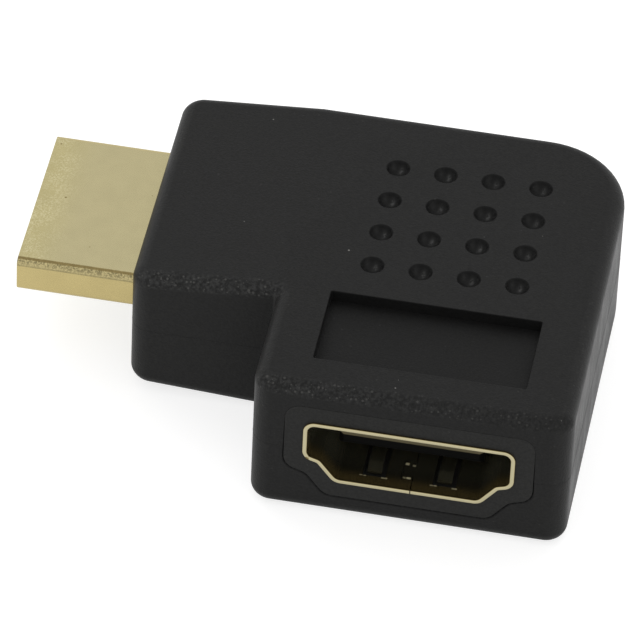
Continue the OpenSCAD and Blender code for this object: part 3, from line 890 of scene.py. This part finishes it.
def body_form(body):
    """The body as one loft through its levels, with each broad face creased where the plug leg tapers"""
    steps = body.arc_steps
    angles = [math.radians(90) * k / steps for k in range(steps + 1)]
    levels = [(-a, body_ring(body, a, -1)) for a in reversed(angles)]
    levels += [(a, body_ring(body, a, 1)) for a in angles]
    form, rows = shell([ring for angle, ring in levels], caps=False)
    # Each corner of the plan has this many points, but the sixth, where the crease ends, has one
    arc, whole = steps + 1, len(rows[0])
    for row in (rows[0], rows[-1]):
        form.faces.new([row[i] for i in range(arc, 5 * arc + 1)])
        form.faces.new([row[i % whole] for i in range(5 * arc, whole + arc + 1)])
    bmesh.ops.recalc_face_normals(form, faces=form.faces)
    # Painted light: the plug leg's front is paler, fading over the corners at both ends
    rise = [k / steps for k in range(arc)]
    painted_front_light = rise + rise[::-1] + [0] * (whole - 2 * arc)
    uprights = [math.cos(angle) for angle, ring in levels]
    walls = [up * abs(d.y) / d.length for up, level in zip(uprights, levels) for d in runs(level[1])]
    mark(form, "rub", [share for angle, ring in levels for share in rubbed(ring, angle)])
    mark(form, "wall", walls)
    return mark(form, "tone", [FRONT_PAINTED_LIGHT * up * share for up in uprights for share in painted_front_light])


def rubbed(ring, angle, elsewhere=0.2, socket_leg=0.3):
    """Share of painted sheen and glints along the edges round the broad faces, most at the upper one's front
    """
    shares = []
    for p, along in zip(ring, runs(ring)):
        front = max(0, along.x) / along.length if angle > 0 else 0
        front *= 1 if p.x < SOCKET_LOW.x - MM else socket_leg
        shares.append(abs(math.sin(2 * angle)) ** 0.5 * (elsewhere + (1 - elsewhere) * front))
    return shares


def rim(name, axis, face, middle, level, look):
    """Rounded edge of a shell's sheet: a bead squeezed along its opening's axis, and open at the seam"""
    beads = settings().beads
    line = grown(opening("inner_mould", face, axis), -beads.sheet / 2)
    seam = Vector((middle + beads.seam, min(p.y for p in line)))
    gap = Vector((beads.seam_gap / 2, 0))
    ahead = zip(line, line[1:] + line[:1])
    start = next(i for i, (p, after) in enumerate(ahead) if p.y < Z_MID and p.x < seam.x < after.x)
    path = [seam + gap, *line[start + 1 :], *line[: start + 1], seam - gap]
    values = {
        "Radius": beads.sheet / 2,
        "Sides": 16,
        "Squeeze": Vector((1, 1, 1)) - axis * (1 - 2 * beads.proud / beads.sheet),
        "Place": axis * level,
        "Material": look.material,
    }
    return bead(name, [map(on_face(axis, 0), path)], values)


class ADAPTER_OT_outer_moulding(bpy.types.Operator):
    """Makes the outer moulding: the creased loft, its cavity, the soft-rimmed recess and the grip dimples"""

    bl_idname = "adapter.outer_moulding"
    bl_label = "Outer moulding"

    def execute(self, context):
        group = settings()
        body, recess, finish = group.body, group.recess, group.finishes
        moulding = settle_in("outer_moulding", body_form(body))
        collar = opening("overmould", BODY_LOW.y, BACK)
        mouth = opening("overmould", BODY_LOW.x, SIDE)
        ring = opening("overmould", INNER_LOW.x, SIDE)
        at_front, at_plug_end = on_face(BACK, BODY_LOW.y), on_face(SIDE, BODY_LOW.x)

        block_x, block_y = BODY_LOW.x + body.plug_depth, BODY_HIGH.y - body.plug_leg + body.wall
        block_radii = [body.edge_r, body.edge_r, body.corner_r - body.wall, body.edge_r]
        block = rounded(rectangle(block_x, block_y, INNER_HIGH.x, INNER_HIGH.y), block_radii, body.arc_steps)
        half, near = recess.width / 2, BODY_LOW.y + recess.inset
        pocket = rectangle(SOCKET_X - half, near, SOCKET_X + half, near + recess.length)
        pocket = rounded(pocket, [recess.corner_r] * 4, 4)
        collar_depth, end_wall = block_y - BODY_LOW.y + MM, INNER_LOW.x - BODY_LOW.x
        # The collar comes first, so that no cut leaves a closed void
        cutters = [
            flared(collar, collar_depth, body.joint, at_front, -BACK, JOINT_PAINTED_SHADE, share=self.low_share),
            prism(block, at_height(Z_MID), UP, -body.block_t / 2, body.block_t / 2),
            prism(ring, at_plug_end, SIDE, end_wall, body.plug_depth + MM),
            flared(mouth, end_wall + MM, body.lip, at_plug_end, -SIDE, MOUTH_PAINTED_SHADE),
            flared(pocket, recess.depth, recess.rim, at_height(BODY_HIGH.z), UP, RECESS_PAINTED_SHADE),
        ]
        carve(moulding, *(settle_in(f"cutter_{k}", cutter) for k, cutter in enumerate(cutters)))

        look = vinyl_finish("outer_vinyl", finish.vinyl, finish.dust, 0.14 * MM, 0.008 * MM, 0.35)
        self.press_dimples(moulding, group.dimples, look.material)
        smooth(moulding)
        piece(moulding, "outer_vinyl", "overmould")
        return {"FINISHED"}

    def low_share(self, p, least=0.12, reach=1.2 * MM):
        """How open the joint round the collar is, and how strong its painted shade: hardly above the middle
        level, and fully below it
        """
        return least + (1 - least) * min(1, max(0, (Z_MID - p.y) / reach))

    def press_dimples(self, moulding, dimples, material):
        """Cuts the square of dimples into both broad faces"""
        pitches = {"Pitch Across": "Float", "Pitch Along": "Float"}
        sockets = {"Punch": "Object", "Count": "Int", **pitches, "Middle": "Vector", "Thickness": "Float"}
        tree, given = grow_tree("grip dimples", sockets)
        mix = Mix(tree)
        punch = add(tree, "GeometryNodeObjectInfo", {"Object": given["Punch"]}).outputs["Geometry"]
        grid = {"Vertices X": given["Count"], "Vertices Y": given["Count"]}
        for size, pitch in zip(("Size X", "Size Y"), pitches):
            grid[size] = mix.times(given[pitch], mix.less(given["Count"], 1.0))
        grid = flow(tree, "GeometryNodeMeshGrid", grid)
        join = add(tree, "GeometryNodeJoinGeometry")
        half_t = mix.times(given["Thickness"], 0.5)
        for side, turn in ((1.0, 0.0), (-1.0, math.pi)):
            height = flow(tree, "ShaderNodeCombineXYZ", {"Z": mix.times(half_t, side)})
            spot = flow(tree, "ShaderNodeVectorMath", {0: given["Middle"], 1: height}, operation="ADD")
            points = flow(tree, "GeometryNodeTransform", {"Geometry": grid, "Translation": spot})
            stamp = {"Points": points, "Instance": punch, "Rotation": Euler((turn, 0, 0))}
            feed(tree, join, {0: flow(tree, "GeometryNodeInstanceOnPoints", stamp)})
        meshes = {"Mesh 1": given["Geometry"], "Mesh 2": join.outputs[0]}
        cut = flow(tree, "GeometryNodeMeshBoolean", meshes, operation="DIFFERENCE", solver="MANIFOLD")
        finish_tree(tree, given, cut)

        punch_shape = settle_in("punch", self.punch(dimples))
        rows = (dimples.count - 1) / 2 * dimples.pitch_y
        values = {
            "Punch": punch_shape,
            "Count": dimples.count,
            "Pitch Across": dimples.pitch_x,
            "Pitch Along": dimples.pitch_y,
            "Middle": (SOCKET_X, BODY_HIGH.y - dimples.inset - rows, Z_MID),
            "Thickness": BODY_HIGH.z - BODY_LOW.z,
            "Material": material,
        }
        run_tree(moulding, tree, values)
        bpy.data.objects.remove(punch_shape)

    def punch(self, dimples, around=32, down=8, rim_steps=3):
        """Lathe-turned punch: a ball whose shoulder flares into a soft rim at the surface"""
        radius, depth, rim = dimples.radius, dimples.depth, dimples.rim
        ball = (radius**2 + depth**2) / (2 * depth)
        centre = ball - depth
        reach = math.sqrt((ball + rim) ** 2 - (centre + rim) ** 2)
        lean = math.atan2(reach, centre + rim)
        on_ball = [lean * k / down for k in range(1, down + 1)]
        on_rim = [lean * (1 - k / rim_steps) for k in range(1, rim_steps + 1)]
        line = [(ball * math.sin(t), centre - ball * math.cos(t)) for t in on_ball]
        line += [(reach - rim * math.sin(t), rim * math.cos(t) - rim) for t in on_rim]
        line.append((reach, rim))
        turns = [2 * math.pi * i / around for i in range(around)]
        rings = [[Vector((r * math.cos(t), r * math.sin(t), z)) for t in turns] for r, z in line]
        # Painted shading of the dimples, fading out over the rim
        painted_shadings = [self.tone(p / radius) * min(1, max(0, -p.z / rim)) for ring in rings for p in ring]
        return mark(shell(rings)[0], "tone", painted_shadings)

    def tone(self, p):
        """Painted shading in a dimple, at a place in radii: painted shade round its steep wall, painted
        highlights in spots
        """
        return DIMPLE_PAINTED_SHADE + sum(
            size * math.exp(-(((p.x - x) / wide) ** 2) - ((p.y - y) / long) ** 2)
            for size, x, y, wide, long in DIMPLE_PAINTED_HIGHLIGHTS
        )


class ADAPTER_OT_parting_line(bpy.types.Operator):
    """Sweeps the parting line of the mould round the outer moulding, from one opening to the other"""

    bl_idname = "adapter.parting_line"
    bl_label = "Parting line"

    def execute(self, context):
        body, beads = settings().body, settings().beads
        collar, mouth = opening("overmould", BODY_LOW.y, BACK), opening("overmould", BODY_LOW.x, SIDE)
        left, right = ends_at_middle(grown(collar, body.joint / 4))
        back, front = (-end for end in ends_at_middle(grown(mouth, body.lip)))
        ring = body_ring(body, 0, 1)
        at_socket = 3 * (body.arc_steps + 1)
        ends = corners((BODY_LOW.x, front), (left, BODY_LOW.y), (right, BODY_LOW.y), (BODY_LOW.x, back))
        halves = [ends[0], *ring[:at_socket], ends[1]], [ends[2], *ring[at_socket:], ends[3]]
        vinyl = next(m for m in bpy.data.objects["outer_moulding"].data.materials if m)
        values = {"Radius": beads.parting, "Sides": 8, "Squeeze": Vector((1, 1, 1)), "Material": vinyl}
        line = bead("parting_line", [map(at_height(Z_MID), half) for half in halves], values)
        piece(line, "outer_vinyl")
        return {"FINISHED"}


class ADAPTER_OT_inner_moulding(bpy.types.Operator):
    """Finishes the hard inner moulding, whose collar shows round the socket"""

    bl_idname = "adapter.inner_moulding"
    bl_label = "Inner moulding"

    def execute(self, context):
        finish = settings().finishes
        look = vinyl_finish("inner_polymer", finish.polymer, finish.dust, 0.16 * MM, 0.007 * MM, 0.1)
        axes = look.axes()
        # Painted light: the wall that shows deep in the socket is made paler
        deep = look.ramp(axes["Y"], INNER_LOW.y + 0.3 * MM, INNER_LOW.y + MM)
        inside = look.times(look.near(axes["X"], SOCKET_X, 7 * MM, MM), deep)
        look.give("Base Color", look.scaled(look.colour(), look.lerp(inside, 1.0, 3.0)))
        dress(["inner_mould"], look)
        return {"FINISHED"}


class ADAPTER_OT_plug(bpy.types.Operator):
    """Finishes the plug's folded shell, and rounds its edge at the tip"""

    bl_idname = "adapter.plug"
    bl_label = "Plug shell"

    def execute(self, context):
        look = plug_finish(settings().finishes)
        dress(["plug_shell"], look)
        piece(rim("plug_rim", SIDE, INNER_LOW.x, -PLUG_Y, PLUG_LOW.x, look), "plug_plating")
        return {"FINISHED"}


class ADAPTER_OT_socket(bpy.types.Operator):
    """Finishes the socket's folded shell, and rounds its edge at the opening"""

    bl_idname = "adapter.socket"
    bl_label = "Socket shell"

    def execute(self, context):
        look = socket_finish(settings().finishes)
        dress(["socket_shell"], look)
        piece(rim("socket_rim", BACK, BODY_LOW.y, SOCKET_X, SOCKET_LOW.y, look), "socket_plating")
        return {"FINISHED"}


class ADAPTER_OT_insides(bpy.types.Operator):
    """Finishes the insulators, the contacts and the circuit board"""

    bl_idname = "adapter.insides"
    bl_label = "Insulators, contacts and board"

    def execute(self, context):
        finish = settings().finishes
        dress(["plug_insulator", "socket_insulator"], insulator_finish(finish))
        dress(CONTACTS, solid_finish("contact_gold", finish.contact_gold, 0.25, metallic=1.0))
        dress(["circuit_board"], board_finish(finish))
        return {"FINISHED"}


class ADAPTER_OT_studio(bpy.types.Operator):
    """Makes the camera, the floor, the white surround and the lamp"""

    bl_idname = "adapter.studio"
    bl_label = "Studio"

    # Middle of the view, and how far the camera's axis passes to its side and above, from the solved picture
    aim = Vector((9.33, -3.03, 6.3)) * MM
    aside = Vector((8.0416, -1.7049)) * MM
    # The floor lies just below the part, and glows more to the camera than to other rays
    floor_level, floor_reach = -0.06 * MM, 1.5
    floor_glow, floor_glow_seen = 0.6, 0.75
    lamp_place, lamp_size = Vector((-0.12, 0.42, 0.36)), (0.9, 0.7)

    def execute(self, context):
        studio = settings().studio
        self.set_camera(studio)
        self.lay_floor(studio)
        self.set_world(studio)
        self.hang_lamp(studio)
        bpy.context.scene.view_settings.view_transform = "Standard"
        return {"FINISHED"}

    def set_camera(self, studio):
        turn, tilt = studio.azimuth, studio.elevation
        right = Vector((math.cos(turn), math.sin(turn), 0))
        ahead = Vector((-math.sin(turn) * math.cos(tilt), math.cos(turn) * math.cos(tilt), -math.sin(tilt)))
        above = right.cross(ahead)
        c, s = math.cos(studio.roll), math.sin(studio.roll)
        right, above = c * right + s * above, c * above - s * right
        data = bpy.data.cameras.new("camera")
        data.lens, data.sensor_width = studio.lens, 36
        data.clip_start, data.clip_end = 0.01, 10
        place = self.aim - self.aside.x * right - self.aside.y * above - studio.distance * ahead
        turned = Matrix((right, above, -ahead)).transposed().to_4x4()
        camera = bpy.context.scene.camera = put("camera", data)
        camera.matrix_world = Matrix.Translation(place) @ turned

    def lay_floor(self, studio):
        made, reach = bmesh.new(), self.floor_reach
        square = map(at_height(self.floor_level), rectangle(-reach, -reach, reach, reach))
        made.faces.new([made.verts.new(p) for p in square])
        floor = settle_in("floor", made)
        look = Look("floor_paper")
        look.give("Base Color", look.blend(look.noise(2 * MM), lit(studio.floor, 0.98), lit(studio.floor)))
        look.give("Roughness", 0.9)
        look.give("Specular IOR Level", 0.1)
        look.give("Emission Color", (1, 1, 1, 1))
        camera = add(look.tree, "ShaderNodeLightPath").outputs["Is Camera Ray"]
        look.give("Emission Strength", look.ramp(camera, 0.0, 1.0, self.floor_glow, self.floor_glow_seen))
        from_below = add(look.tree, "ShaderNodeNewGeometry").outputs["Backfacing"]
        look.give("Alpha", look.less(1.0, from_below))
        floor.data.materials.append(look.material)

    def set_world(self, studio):
        world = bpy.data.worlds.new("white_surround")
        world.use_nodes = True
        tree = world.node_tree
        tree.nodes.clear()
        mix, rays = Mix(tree), add(tree, "ShaderNodeLightPath").outputs
        # White to the rays that look at it: the camera's, and those off metal or through glass
        looking = mix.most(*(rays[f"Is {kind} Ray"] for kind in ("Camera", "Glossy", "Transmission")))
        strength = mix.ramp(looking, 0.0, 1.0, studio.ambient, 1.0)
        glow = flow(tree, "ShaderNodeBackground", {"Color": (1, 1, 1, 1), "Strength": strength})
        add(tree, "ShaderNodeOutputWorld", {"Surface": glow})
        bpy.context.scene.world = world

    def hang_lamp(self, studio):
        data = bpy.data.lights.new("softbox", "AREA")
        data.shape, data.energy = "RECTANGLE", studio.softbox
        data.size, data.size_y = self.lamp_size
        lamp = put("softbox", data)
        lamp.visible_glossy = False  # metal mirrors the white surround alone
        turned = self.lamp_place.to_track_quat("Z", "Y").to_matrix().to_4x4()
        lamp.matrix_world = Matrix.Translation(self.lamp_place) @ turned


def held(kind):
    """One group of the adapter's settings"""
    name = kind.__name__.removeprefix("Adapter")
    return bpy.props.PointerProperty(type=kind, name=name, description=kind.__doc__)


class AdapterSettings(bpy.types.PropertyGroup):
    """All the settings of the adapter"""

    body: held(AdapterBody)
    dimples: held(AdapterDimples)
    recess: held(AdapterRecess)
    beads: held(AdapterBeads)
    finishes: held(AdapterFinishes)
    studio: held(AdapterStudio)


OPERATORS = (
    ADAPTER_OT_outer_moulding,
    ADAPTER_OT_parting_line,
    ADAPTER_OT_inner_moulding,
    ADAPTER_OT_plug,
    ADAPTER_OT_socket,
    ADAPTER_OT_insides,
    ADAPTER_OT_studio,
)


class ADAPTER_PT_pieces(bpy.types.Panel):
    """Lists the adapter's settings and operators"""

    bl_idname = "ADAPTER_PT_pieces"
    bl_label = "Adapter"
    bl_space_type = "VIEW_3D"
    bl_region_type = "UI"
    bl_category = "Adapter"

    def draw(self, context):
        for group in AdapterSettings.__annotations__:
            box = self.layout.box()
            box.label(text=group.capitalize())
            values = getattr(context.scene.adapter, group)
            for name in values.__annotations__:
                box.prop(values, name)
        for operator in OPERATORS:
            self.layout.operator(operator.bl_idname)


CLASSES = (
    AdapterBody,
    AdapterDimples,
    AdapterRecess,
    AdapterBeads,
    AdapterFinishes,
    AdapterStudio,
    AdapterSettings,
    *OPERATORS,
    ADAPTER_PT_pieces,
)


def register():
    for kind in CLASSES:
        bpy.utils.register_class(kind)
    bpy.types.Scene.adapter = bpy.props.PointerProperty(type=AdapterSettings)


def unregister():
    del bpy.types.Scene.adapter
    for kind in reversed(CLASSES):
        bpy.utils.unregister_class(kind)


def main():
    """Registers the add-on and makes every piece"""
    register()
    for operator in OPERATORS:
        group, name = operator.bl_idname.split(".")
        getattr(getattr(bpy.ops, group), name)()


if __name__ == "__main__":
    main()
